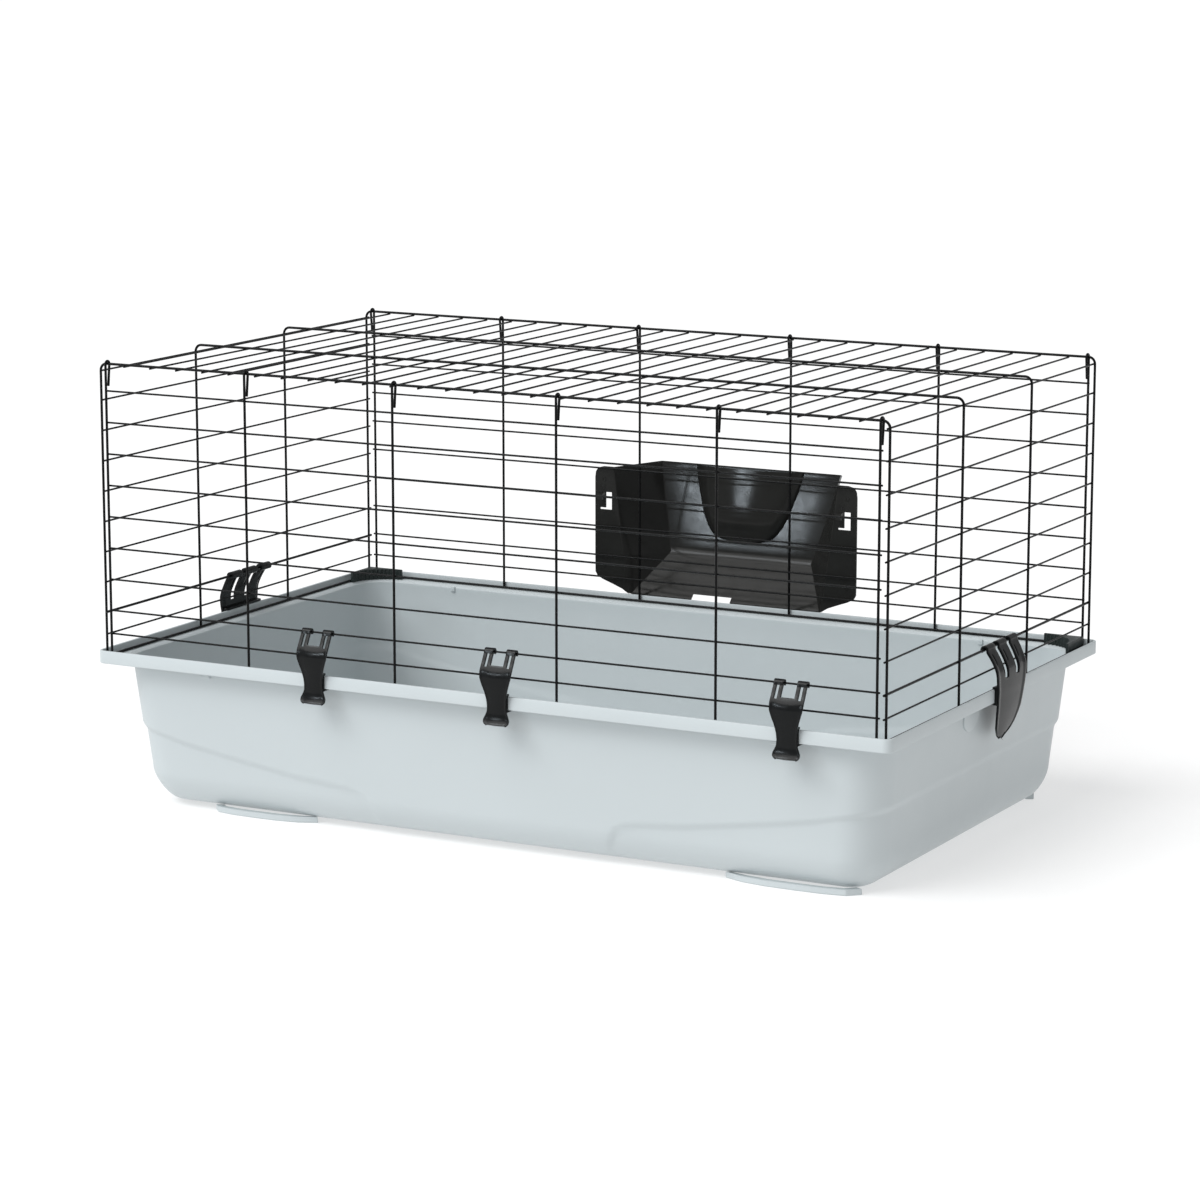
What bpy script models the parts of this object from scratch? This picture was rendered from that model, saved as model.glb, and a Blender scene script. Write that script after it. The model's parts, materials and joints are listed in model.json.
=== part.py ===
"""Wire rabbit cage: a plastic tray, a bent wire hood, hooked front and back panels, snap clips and a hay rack.

Metres, +Z up. +X runs along the cage's length and -Y is its front. The shapes are drawn about the middle of the
tray, and the last lines move everything so that the origin lies below the middle of the whole cage, rack included.
"""

import math

import bmesh
import bpy
from mathutils import Vector

# ---- driving dimensions -------------------------------------------------------------------------
CAGE_LENGTH = 1.000
CAGE_DEPTH = 0.600
RIM_Z = 0.1860
WIRE_HEIGHT = 0.333
HALF_L = CAGE_LENGTH / 2
HALF_D = CAGE_DEPTH / 2
TOP_Z = RIM_Z + WIRE_HEIGHT
GAP = 0.0003
MIDDLE_Y = 0.0318

THICK = 0.0015
THIN = 0.00095
WELD = 0.0018
THICK_WELD = 0.0024
HOOD_X = 0.4910
HOOD_Y = 0.2910
HOOD_INNER_Y = 0.0970
HOOD_BEND = 0.0080
CROSS_PITCH = 0.0352
CROSS_HALF_COUNT = 13
WIRE_TIP = 0.0025
BOTTOM_WIRE_Z = RIM_Z - 0.0060

PANEL_VERTICALS = (0.4819, 0.2945, 0.1022)
PANEL_ROW_PITCH = 0.0364
PANEL_ROWS = [0.3020 - PANEL_ROW_PITCH * i for i in range(8)] + [0.0200]
END_ROWS = [0.2912 - CROSS_PITCH * i for i in range(8)] + [0.0190]
HOOK_OUT = 0.0036
HOOK_IN = 0.0040
HOOK_RISE = -0.0004
HOOK_TAIL = 0.0260
HOOK_TAIL_IN = 0.0012
PANEL_Y = HOOD_Y + HOOK_OUT
PANEL_ROW_Y = PANEL_Y - WELD
END_ROW_X = HOOD_X - WELD
PANEL_CLIP_ROW = PANEL_ROWS[7]
END_CLIP_ROW = END_ROWS[7]

LIP = 0.0032
SKIRT = 0.0150
LEDGE = 0.0078
WALL_TOP = 0.0175
WALL_CORNER = 0.0450
WALL = 0.0030
FLOOR_FILLET = 0.0360
FLOOR_INSET = 0.0345
FLOOR_Z = 0.0040
FLOOR_CORNER = 0.0060
FLOOR_SPLIT = 0.0113
SPLIT_GAP = 0.0003
CORNER_STEPS = 6

CLIP_THICKNESS = 0.0026
CLIP_BORE = 0.0013
THICK_CLIP_BORE = 0.0019
BARREL = 0.0041
FRONT_CLIP_X = (-0.2030, 0.0325, 0.3830)
RIGHT_CLIP_Y = 0.0200
LEFT_CLIP_Y = 0.0080

RACK_X = 0.0125
RACK_Y = PANEL_Y + THICK + 0.0005
RACK_SHEET = 0.0020

# ---- scene and materials ------------------------------------------------------------------------
for old in list(bpy.data.objects):
    bpy.data.objects.remove(old, do_unlink=True)

cage = bpy.data.collections.new("wire_rabbit_cage")
cutters = bpy.data.collections.new("cutters")
bpy.context.scene.collection.children.link(cage)
bpy.context.scene.collection.children.link(cutters)


def plastic(name, colour, roughness, metallic=0.0):
    """One Principled material."""
    made = bpy.data.materials.new(name)
    made.use_nodes = True
    shader = made.node_tree.nodes["Principled BSDF"]
    shader.inputs["Base Color"].default_value = (*colour, 1.0)
    shader.inputs["Roughness"].default_value = roughness
    shader.inputs["Metallic"].default_value = metallic
    return made


TRAY_GREY = (0.62, 0.66, 0.68)
COATED_BLACK = (0.012, 0.012, 0.013)
CLIP_BLACK = (0.020, 0.021, 0.022)
RACK_SMOKE = (0.045, 0.045, 0.042)


def give(obj, colour, roughness, metallic=0.0):
    """The object's own material, named after it."""
    obj.data.materials.clear()
    obj.data.materials.append(plastic(obj.name, colour, roughness, metallic))


# ---- modelling helpers --------------------------------------------------------------------------
def new_object(name, data, collection=cage):
    """Links a new object to a collection."""
    obj = bpy.data.objects.new(name, data)
    collection.objects.link(obj)
    return obj


def drop(obj):
    """Removes a working object."""
    bpy.data.objects.remove(obj, do_unlink=True)


def face_out(form):
    """Turns every face of a closed body outwards."""
    bmesh.ops.recalc_face_normals(form, faces=form.faces)
    if form.calc_volume(signed=True) < 0:
        bmesh.ops.reverse_faces(form, faces=form.faces)


def solid_from_curve(name, curve):
    """A closed mesh from a curve, with its caps welded."""
    obj = new_object("guide", curve, cutters)
    bpy.context.view_layer.update()
    graph = bpy.context.evaluated_depsgraph_get()
    mesh = bpy.data.meshes.new_from_object(obj.evaluated_get(graph))
    matrix = obj.matrix_world.copy()
    drop(obj)
    form = bmesh.new()
    form.from_mesh(mesh)
    bmesh.ops.remove_doubles(form, verts=form.verts, dist=0.00001)
    face_out(form)
    form.to_mesh(mesh)
    form.free()
    made = new_object(name, mesh)
    made.matrix_world = matrix
    return made


def wires(name, runs, radius, resolution):
    """Round wires along lists of points, as separate bodies in one mesh."""
    curve = bpy.data.curves.new(name, "CURVE")
    curve.dimensions = "3D"
    curve.bevel_depth = radius
    curve.bevel_resolution = resolution
    curve.use_fill_caps = True
    for run in runs:
        spline = curve.splines.new("POLY")
        spline.points.add(len(run) - 1)
        for point, place in zip(spline.points, run):
            point.co = (*place, 1.0)
    return solid_from_curve(name, curve)


def plate(name, outlines, half_thickness):
    """A flat outline in X and Y, with holes, extruded both ways along Z."""
    curve = bpy.data.curves.new(name, "CURVE")
    curve.dimensions = "2D"
    curve.fill_mode = "BOTH"
    curve.extrude = half_thickness
    for outline in outlines:
        spline = curve.splines.new("POLY")
        spline.points.add(len(outline) - 1)
        spline.use_cyclic_u = True
        for point, (x, y) in zip(spline.points, outline):
            point.co = (x, y, 0.0, 1.0)
    return solid_from_curve(name, curve)


def block(name, low, high):
    """A box between two corners."""
    form = bmesh.new()
    bmesh.ops.create_cube(form, size=1.0)
    size = [b - a for a, b in zip(low, high)]
    bmesh.ops.scale(form, vec=size, verts=form.verts)
    middle = [(a + b) / 2 for a, b in zip(low, high)]
    bmesh.ops.translate(form, vec=middle, verts=form.verts)
    mesh = bpy.data.meshes.new(name)
    form.to_mesh(mesh)
    form.free()
    return new_object(name, mesh)


def remap(obj, rule):
    """Moves every vertex by a rule, and turns the faces out again."""
    form = bmesh.new()
    form.from_mesh(obj.data)
    for vertex in form.verts:
        vertex.co = Vector(rule(*vertex.co))
    face_out(form)
    form.to_mesh(obj.data)
    form.free()
    return obj


def combine(base, other, operation, solver="EXACT"):
    """A Boolean of two solids. The second one is used up."""
    step = base.modifiers.new("combine", "BOOLEAN")
    step.operation = operation
    step.solver = solver
    step.object = other
    bpy.context.view_layer.update()
    graph = bpy.context.evaluated_depsgraph_get()
    mesh = bpy.data.meshes.new_from_object(base.evaluated_get(graph))
    base.modifiers.remove(step)
    base.data = mesh
    drop(other)
    form = bmesh.new()
    form.from_mesh(mesh)
    bmesh.ops.remove_doubles(form, verts=form.verts, dist=0.000002)
    bmesh.ops.dissolve_degenerate(form, edges=form.edges, dist=0.000001)
    form.to_mesh(mesh)
    form.free()
    return base


def arc(centre, radius, start, end, steps):
    """Points of an arc in a plane, with angles in degrees."""
    points = []
    for i in range(steps + 1):
        angle = math.radians(start + (end - start) * i / steps)
        points.append((centre[0] + radius * math.cos(angle), centre[1] + radius * math.sin(angle)))
    return points


def shade(obj, angle=40):
    """Smooth shading with sharp edges kept."""
    obj.data.shade_smooth()
    obj.data.set_sharp_from_angle(angle=math.radians(angle))


# ---- tray ---------------------------------------------------------------------------------------
def ring(form, inset, z, radius):
    """One level of the tray: a rectangle with round corners."""
    half_x = HALF_L - inset - radius
    half_y = HALF_D - inset - radius
    made = []
    for corner, (sx, sy) in enumerate(((1, 1), (-1, 1), (-1, -1), (1, -1))):
        start = 90 * corner
        for x, y in arc((sx * half_x, sy * half_y), radius, start, start + 90, CORNER_STEPS):
            made.append(form.verts.new((x, y, z)))
    return made


def fillet_levels(inset, z_floor, radius, corner, steps=6):
    """The round between the tray's wall and its floor."""
    levels = []
    for i in range(1, steps + 1):
        angle = math.radians(90 * i / steps)
        run = radius * (1 - math.cos(angle))
        level_corner = corner - (corner - FLOOR_CORNER) * run / radius
        levels.append((inset + run, z_floor + radius * (1 - math.sin(angle)), level_corner))
    return levels


def tray_levels():
    """(inset, z, corner radius) from the outer floor, up, over the rim and down inside."""
    drops = ((0.0180, 0.0200), (0.0235, 0.0790), (0.0255, 0.0905), (0.0285, 0.0975))
    wall = [(inset, RIM_Z - drop, WALL_CORNER) for inset, drop in drops]
    wall.append((FLOOR_INSET, FLOOR_Z + FLOOR_FILLET, WALL_CORNER))
    outside = wall + fillet_levels(FLOOR_INSET, FLOOR_Z, FLOOR_FILLET, WALL_CORNER)
    levels = outside[::-1]
    levels.append((WALL_TOP, RIM_Z - LEDGE - 2 * WALL, WALL_CORNER))
    levels.append((WALL_TOP - WALL, RIM_Z - LEDGE - WALL, WALL_CORNER))
    levels.append((LIP + 0.0002, RIM_Z - LEDGE - WALL, 0.007))
    levels.append((LIP, RIM_Z - SKIRT, 0.007))
    levels.append((0.0, RIM_Z - SKIRT, 0.010))
    levels.append((0.0, RIM_Z - 0.0008, 0.010))
    levels.append((0.0008, RIM_Z, 0.009))
    levels.append((LIP, RIM_Z, 0.007))
    levels.append((LIP, RIM_Z - LEDGE, 0.007))
    inner_corner = WALL_CORNER - WALL
    levels.append((WALL_TOP - WALL, RIM_Z - LEDGE, inner_corner + 0.002))
    levels.append((WALL_TOP + WALL, RIM_Z - LEDGE - WALL, inner_corner))
    inner_wall = [(inset + WALL, z + 0.001, inner_corner) for inset, z, corner in wall[:-1]]
    levels += inner_wall
    floor = FLOOR_Z + WALL
    inner_fillet = FLOOR_FILLET - WALL
    levels.append((FLOOR_INSET + WALL, floor + inner_fillet, inner_corner))
    levels += fillet_levels(FLOOR_INSET + WALL, floor, inner_fillet, inner_corner)
    return levels


def make_tray():
    """The tray as one loft with four foot ridges, parted just above its floor into walls and floor."""
    form = bmesh.new()
    rings = [ring(form, *level) for level in tray_levels()]
    count = len(rings[0])
    for lower, upper in zip(rings, rings[1:]):
        for i in range(count):
            j = (i + 1) % count
            form.faces.new((lower[i], lower[j], upper[j], upper[i]))
    form.faces.new(rings[0])
    form.faces.new(rings[-1])
    face_out(form)
    mesh = bpy.data.meshes.new("tray")
    form.to_mesh(mesh)
    form.free()
    tray = new_object("tray", mesh)
    for sx in (1, -1):
        for sy in (1, -1):
            combine(tray, foot_ridge(sx, sy), "UNION")
    floor = new_object("tray_floor", tray.data.copy())
    reach = CAGE_LENGTH
    below = block("below", (-reach, -reach, -RIM_Z), (reach, reach, FLOOR_SPLIT + SPLIT_GAP))
    combine(tray, below, "DIFFERENCE", "MANIFOLD")
    above = block("above", (-reach, -reach, FLOOR_SPLIT), (reach, reach, 2 * RIM_Z))
    combine(floor, above, "DIFFERENCE", "MANIFOLD")
    for piece in (tray, floor):
        give(piece, TRAY_GREY, 0.45)
        shade(piece, 30)


RIGHT_FOOT = (((0.2850, 0.2480), (0.3080, 0.2580), (0.3380, 0.2625), (0.4060, 0.2625), (0.4320, 0.2580),
               (0.4450, 0.2450)),
              ((0.2900, 0.2440), (0.3110, 0.2495), (0.3380, 0.2535), (0.4040, 0.2535), (0.4260, 0.2500),
               (0.4370, 0.2400)))
LEFT_FOOT = (((0.2350, 0.2480), (0.2560, 0.2580), (0.2830, 0.2625), (0.3420, 0.2625), (0.3640, 0.2590),
              (0.3720, 0.2500)),
             ((0.2400, 0.2440), (0.2590, 0.2495), (0.2830, 0.2535), (0.3400, 0.2535), (0.3580, 0.2510),
              (0.3640, 0.2450)))
FOOT_FACE = 0.0100
FOOT_BITE = 0.0015
CORNER_REACH = 0.0750


def underside(x, y):
    """Height of the tray's outer skin above a point near its floor's edge."""
    beyond_x = x - (HALF_L - CORNER_REACH)
    beyond_y = y - (HALF_D - CORNER_REACH)
    inset = min(HALF_L - x, HALF_D - y)
    if beyond_x > 0 and beyond_y > 0:
        inset = CORNER_REACH - math.hypot(beyond_x, beyond_y)
    left = max(0.0, min(1.0, 1 - (inset - FLOOR_INSET) / FLOOR_FILLET))
    return FLOOR_Z + FLOOR_FILLET * (1 - math.sqrt(1 - left * left))


def foot_ridge(sx, sy):
    """A low curved ridge below the front or back edge of the floor. Its top is buried in the tray's skin."""
    form = bmesh.new()
    sections = []
    outer, inner = RIGHT_FOOT if sx > 0 else LEFT_FOOT
    for line, cap in ((outer, FOOT_FACE), (inner, 1.0)):
        sections.append([form.verts.new((sx * x, sy * y, 0.0)) for x, y in line])
        tops = [min(cap, underside(x, y) + FOOT_BITE) for x, y in line]
        sections.append([form.verts.new((sx * x, sy * y, top)) for (x, y), top in zip(line, tops)])
    outer_low, outer_high, inner_low, inner_high = sections
    bands = ((outer_low, outer_high), (outer_high, inner_high), (inner_high, inner_low), (inner_low, outer_low))
    for first, second in bands:
        for i in range(len(first) - 1):
            form.faces.new((first[i], first[i + 1], second[i + 1], second[i]))
    for end in (0, -1):
        form.faces.new((outer_low[end], outer_high[end], inner_high[end], inner_low[end]))
    face_out(form)
    mesh = bpy.data.meshes.new("foot_ridge")
    form.to_mesh(mesh)
    form.free()
    return new_object("foot_ridge", mesh)


# ---- ribbed corner pieces, at the back only -----------------------------------------------------
CORNER_EDGE = 0.0137
CORNER_RIBS = 11
CORNER_RISE = 0.0050
RIB_DEPTH = 0.0012


def make_corner(name, sx, sy):
    """A block that fills the rim between its square corner and the round wall, ribbed on its hollow side."""
    radius = WALL_CORNER - WALL + 0.002
    centre = (HALF_L - WALL_TOP - radius, HALF_D - WALL_TOP - radius)
    outline = [(HALF_L - CORNER_EDGE, centre[1]), (HALF_L - CORNER_EDGE, HALF_D - CORNER_EDGE)]
    outline.append((centre[0], HALF_D - CORNER_EDGE))
    steps = 2 * CORNER_RIBS
    for i in range(steps + 1):
        angle = math.radians(90 - 90 * i / steps)
        reach = radius + 0.0004 + (RIB_DEPTH if i % 2 else 0.0)
        outline.append((centre[0] + reach * math.cos(angle), centre[1] + reach * math.sin(angle)))
    low = RIM_Z - LEDGE + GAP
    high = RIM_Z + CORNER_RISE
    piece = plate(name, [outline], (high - low) / 2)
    remap(piece, lambda x, y, z: (sx * x, sy * y, z + (low + high) / 2))
    give(piece, CLIP_BLACK, 0.5)


# ---- wire hood ----------------------------------------------------------------------------------
HOOD_WIRE_YS = (-HOOD_Y, -HOOD_INNER_Y, HOOD_INNER_Y, HOOD_Y)
HOOD_SPLIT_X = HOOD_X - HOOD_BEND - 0.0010
TIP_Y = HOOD_Y + WIRE_TIP


def weld_wires(name, thick, thin, extra=None):
    """Welds the crossing wires of one panel into a single body."""
    combine(thick, thin, "UNION")
    if extra:
        combine(thick, extra, "UNION")
    thick.name = name
    give(thick, COATED_BLACK, 0.35)
    shade(thick)


def make_hood_top():
    """The flat roof: four long wires on top, thin cross wires welded below them."""
    runs = []
    for y in HOOD_WIRE_YS:
        runs.append([(-HOOD_SPLIT_X + GAP / 2, y, TOP_Z), (HOOD_SPLIT_X - GAP / 2, y, TOP_Z)])
    long_wires = wires("hood_top_panel", runs, THICK, 1)
    cross = []
    for i in range(-CROSS_HALF_COUNT, CROSS_HALF_COUNT + 1):
        x = i * CROSS_PITCH
        cross.append([(x, -TIP_Y, TOP_Z - WELD), (x, TIP_Y, TOP_Z - WELD)])
    weld_wires("hood_top_panel", long_wires, wires("cross", cross, THIN, 0))


def make_hood_end(name, side):
    """One bent-down end: four legs, thin rows on their inner side and a thick bottom wire."""
    bend = arc((HOOD_X - HOOD_BEND, TOP_Z - HOOD_BEND), HOOD_BEND, 90, 0, 5)
    legs = []
    for y in HOOD_WIRE_YS:
        leg = [(side * (HOOD_SPLIT_X + GAP / 2), y, TOP_Z)]
        leg += [(side * x, y, z) for x, z in bend]
        leg.append((side * HOOD_X, y, BOTTOM_WIRE_Z - 0.0008))
        legs.append(leg)
    x = side * END_ROW_X
    heights = [TOP_Z - HOOD_BEND] + [RIM_Z + row for row in END_ROWS if row != END_CLIP_ROW]
    thin = wires("rows", [[(x, -TIP_Y, z), (x, TIP_Y, z)] for z in heights], THIN, 0)
    clip_z = RIM_Z + END_CLIP_ROW
    combine(thin, wires("clip_row", [[(x, -TIP_Y, clip_z), (x, TIP_Y, clip_z)]], THICK, 1), "UNION")
    low_x = side * (HOOD_X - THICK_WELD)
    low = wires("low", [[(low_x, -TIP_Y + 0.0010, BOTTOM_WIRE_Z), (low_x, TIP_Y - 0.0010, BOTTOM_WIRE_Z)]], THICK, 1)
    weld_wires(name, wires(name, legs, THICK, 1), thin, low)


# ---- hooked front and back panels ---------------------------------------------------------------
def make_panel(name, side):
    """A flat panel whose six verticals end in hairpin hooks over the hood's edge wire."""
    reach = (HOOK_OUT + HOOK_IN) / 2
    hook = arc((HOOK_OUT - reach, TOP_Z + HOOK_RISE), reach, 0, 180, 6)
    verticals = []
    for x in [s * v for s in (-1, 1) for v in PANEL_VERTICALS]:
        run = [(x, side * PANEL_Y, BOTTOM_WIRE_Z - 0.0008)]
        run += [(x, side * (HOOD_Y + out), z) for out, z in hook]
        run.append((x, side * (HOOD_Y - HOOK_TAIL_IN), TOP_Z - HOOK_TAIL))
        verticals.append(run)
    tip = PANEL_VERTICALS[0] + WIRE_TIP
    rows = [[(-tip, side * PANEL_ROW_Y, RIM_Z + z), (tip, side * PANEL_ROW_Y, RIM_Z + z)] for z in PANEL_ROWS]
    low_y = side * (PANEL_Y - THICK_WELD)
    low = wires("low", [[(-tip + 0.0008, low_y, BOTTOM_WIRE_Z), (tip - 0.0008, low_y, BOTTOM_WIRE_Z)]], THICK, 1)
    weld_wires(name, wires(name, verticals, THICK, 1), wires("rows", rows, THIN, 0), low)
    panel = bpy.data.objects[name]
    hinge = Vector((0.0, side * HOOD_Y, TOP_Z))
    remap(panel, lambda x, y, z: Vector((x, y, z)) - hinge)
    panel.location = hinge


# ---- snap clips ---------------------------------------------------------------------------------
def strip_outline(spine, half):
    """The closed outline of a strip of even thickness along a spine."""
    left = []
    right = []
    for i, (a, b) in enumerate(spine):
        before = Vector(spine[max(i - 1, 0)])
        after = Vector(spine[min(i + 1, len(spine) - 1)])
        along = (after - before).normalized()
        left.append((a - along.y * half, b + along.x * half))
        right.append((a + along.y * half, b - along.x * half))
    return left + right[::-1]


def side_solid(name, outline, half_width):
    """A side profile (outward, height) extruded along the wire, with outward towards -Y."""
    solid = plate(name, [outline], half_width)
    return remap(solid, lambda out, height, along: (along, -out, height))


def front_solid(name, outlines):
    """A front outline (along, height) extruded through the clip's depth."""
    solid = plate(name, outlines, 0.040)
    return remap(solid, lambda along, height, depth: (along, depth, height))


def make_clip_mesh(name, row, spine, half_width, fronts, rim_out, bore):
    """A clip around its wire at the origin: barrel hooks, bowed tongue, and a catch round the rim's lip."""
    clip = side_solid(name, strip_outline([(a, b - row) for a, b in spine], CLIP_THICKNESS / 2), half_width)
    barrel = side_solid("barrel", arc((0.0, 0.0), BARREL, 15, 345, 11), half_width)
    combine(clip, barrel, "UNION")
    web_in = rim_out + GAP
    ledge_in = rim_out - 0.0028
    tooth_in = rim_out - 0.0016
    web_out = rim_out + 0.0048
    ledge = (0.0004, 0.0030)
    tooth = (-SKIRT - 0.0030, -SKIRT - 0.0004)
    catch = [(web_out, tooth[0]), (tooth_in, tooth[1] - 0.0012), (tooth_in, tooth[1]), (web_in, tooth[1])]
    catch += [(web_in, ledge[0]), (ledge_in, ledge[0]), (ledge_in, ledge[1]), (web_out, ledge[1] + 0.0010)]
    combine(clip, side_solid("catch", [(a, b - row) for a, b in catch], half_width), "UNION")
    lowered = [[(a, b - row) for a, b in outline] for outline in fronts]
    combine(clip, front_solid("front", lowered), "INTERSECT")
    combine(clip, side_solid("bore", arc((0.0, 0.0), bore, 15, 345, 11), half_width + 0.001), "DIFFERENCE")
    mouth = [(0.0, 0.0004), (0.0, -0.0008), (-0.0060, -0.0035), (-0.0060, -0.0013)]
    combine(clip, side_solid("mouth", mouth, half_width + 0.001), "DIFFERENCE")
    return clip


def slot(middle, half, low, high):
    """A narrow upright slot."""
    return [(middle - half, low), (middle + half, low), (middle + half, high), (middle - half, high)]


def mirrored(right_side):
    """A closed outline from its right half, listed top to bottom."""
    return right_side + [(-x, z) for x, z in right_side[::-1]]


FRONT_SPINE = ((0.0016, 0.0478), (0.0062, 0.0405), (0.0105, 0.0320), (0.0138, 0.0250), (0.0150, 0.0190),
               (0.0142, 0.0110), (0.0122, 0.0010), (0.0110, -0.0080), (0.0106, -0.0180), (0.0118, -0.0255),
               (0.0148, -0.0315))
FRONT_HALF = 0.0196
FRONT_RIGHT = [(0.0082, 0.0330), (0.0082, 0.0530), (FRONT_HALF, 0.0530), (FRONT_HALF, 0.0290), (0.0188, 0.0200),
               (0.0158, 0.0110), (0.0128, 0.0000), (0.0116, -0.0120), (0.0122, -0.0200), (0.0150, -0.0245),
               (0.0158, -0.0285), (0.0140, -0.0330)]
END_SPINE = ((0.0014, 0.0454), (0.0070, 0.0365), (0.0110, 0.0290), (0.0143, 0.0220), (0.0155, 0.0160),
             (0.0157, 0.0075), (0.0155, -0.0020), (0.0147, -0.0100), (0.0139, -0.0190), (0.0127, -0.0280),
             (0.0109, -0.0370), (0.0086, -0.0460), (0.0055, -0.0560), (0.0040, -0.0610))
END_HALF = 0.0440
END_GAP = [(0.0120, 0.0110), (0.0120, 0.0500), (0.0200, 0.0500), (0.0200, 0.0110)]
END_EDGE = [(END_HALF, 0.0500), (END_HALF, 0.0400), (0.0408, 0.0330), (0.0408, 0.0160), (0.0400, 0.0075),
            (0.0380, -0.0020), (0.0370, -0.0100), (0.0350, -0.0190), (0.0338, -0.0280), (0.0304, -0.0370),
            (0.0258, -0.0460), (0.0188, -0.0555), (0.0100, -0.0600)]


def make_clips():
    """Three front clips and two end clips, each with its origin on the wire that it turns on."""
    fingers = slot(0.0139, 0.0016, 0.0345, 0.0440)
    slots = [fingers, [(-x, z) for x, z in fingers]]
    first = make_clip_mesh("front_clip_left", PANEL_CLIP_ROW, FRONT_SPINE, FRONT_HALF,
                           [mirrored(FRONT_RIGHT)] + slots, HALF_D - PANEL_ROW_Y, CLIP_BORE)
    names = ("front_clip_left", "front_clip_middle", "front_clip_right")
    for name, x in zip(names, FRONT_CLIP_X):
        clip = first if name == first.name else new_object(name, first.data.copy())
        clip.location = (x, -PANEL_ROW_Y, RIM_Z + PANEL_CLIP_ROW)
        give(clip, CLIP_BLACK, 0.25)
        shade(clip)
    narrow = [slot(x, 0.0011, 0.0270, 0.0390) for x in (-0.0370, -0.0050, 0.0270)]
    outline = END_GAP[:2] + [(-x, z) for x, z in END_GAP[:2][::-1]] + [(-x, z) for x, z in END_GAP[2:][::-1]]
    outline += [(-x, z) for x, z in END_EDGE] + END_EDGE[::-1] + END_GAP[2:]
    end = make_clip_mesh("right_end_clip", END_CLIP_ROW, END_SPINE, END_HALF,
                         [outline] + narrow, HALF_L - END_ROW_X, THICK_CLIP_BORE)
    places = (("right_end_clip", 1, RIGHT_CLIP_Y), ("left_end_clip", -1, LEFT_CLIP_Y))
    for name, side, y in places:
        clip = end if name == end.name else new_object(name, end.data.copy())
        clip.location = (side * END_ROW_X, y, RIM_Z + END_CLIP_ROW)
        clip.rotation_euler = (0.0, 0.0, side * math.pi / 2)
        give(clip, CLIP_BLACK, 0.25)
        shade(clip)


# ---- hay rack -----------------------------------------------------------------------------------
RACK_TOP = 0.1580
RACK_FLANGE = 0.1777
RACK_LEVELS = ((0.0010, 0.1320, 0.1300, 0.0940, 0.0020), (0.0110, 0.1560, 0.1325, 0.0945, 0.0120),
               (0.0220, 0.1777, 0.1345, 0.0950, 0.0225), (0.0495, 0.1777, 0.1380, 0.0960, 0.0480),
               (0.0800, 0.1777, 0.1425, 0.1040, 0.0560), (0.1180, 0.1777, 0.1470, 0.1140, 0.0650),
               (RACK_TOP, 0.1777, 0.1520, 0.1225, 0.0740))
RACK_HOOK_X = (-0.1670, 0.1570)
RACK_SLOT = 0.0085


def make_rack():
    """An open-fronted tub with side flanges, sloped floor, and two hooks over a thin wire of the back panel."""
    form = bmesh.new()
    rows = []
    for z, flange, opening, back, depth in RACK_LEVELS:
        half = [(flange, 0.0), (opening, 0.0), (back, depth), (back * 0.55, depth)]
        line = half + [(-x, y) for x, y in half[::-1]]
        rows.append([form.verts.new((RACK_X + x, RACK_Y + y, RIM_Z + z)) for x, y in line])
    for low, high in zip(rows, rows[1:]):
        for i in range(len(low) - 1):
            form.faces.new((low[i], low[i + 1], high[i + 1], high[i]))
    mesh = bpy.data.meshes.new("hay_rack")
    form.to_mesh(mesh)
    form.free()
    sheet = new_object("hay_rack", mesh)
    shell = sheet.modifiers.new("shell", "SOLIDIFY")
    shell.thickness = RACK_SHEET
    shell.offset = 1.0
    shell.use_even_offset = True
    bpy.context.view_layer.update()
    graph = bpy.context.evaluated_depsgraph_get()
    thick_mesh = bpy.data.meshes.new_from_object(sheet.evaluated_get(graph))
    sheet.modifiers.remove(shell)
    sheet.data = thick_mesh
    row = RIM_Z + PANEL_ROWS[5]
    for x in RACK_HOOK_X:
        at = RACK_X + x
        tall = block("slot", (at + 0.004, RACK_Y - 0.004, row - 0.0160), (at + 0.0125, RACK_Y + 0.004, row + 0.0060))
        combine(sheet, tall, "DIFFERENCE")
        foot = block("foot", (at - 0.004, RACK_Y - 0.004, row - 0.0160), (at + 0.005, RACK_Y + 0.004, row - 0.0136))
        combine(sheet, foot, "DIFFERENCE")
        wire_y = PANEL_ROW_Y
        hook = [(RACK_Y + 0.0010, row + 0.0062), (wire_y - 0.0042, row + 0.0048), (wire_y - 0.0042, row - 0.0030),
                (wire_y - 0.0022, row - 0.0030), (wire_y - 0.0022, row + 0.0022), (RACK_Y + 0.0010, row + 0.0022)]
        arm = plate("hook", [hook], 0.0036)
        remap(arm, lambda y, z, along: (at + along, y, z))
        combine(sheet, arm, "UNION")
    sheet.data.name = "hay_rack"
    give(sheet, RACK_SMOKE, 0.25)
    shade(sheet, 30)


# ---- assembly -----------------------------------------------------------------------------------
make_tray()
make_corner("corner_piece_back_left", -1, 1)
make_corner("corner_piece_back_right", 1, 1)
make_hood_top()
make_hood_end("hood_left_end", -1)
make_hood_end("hood_right_end", 1)
make_panel("front_panel", -1)
make_panel("back_panel", 1)
make_clips()
make_rack()
for piece in cage.objects:
    piece.location.y -= MIDDLE_Y
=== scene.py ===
import json
import math

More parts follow.
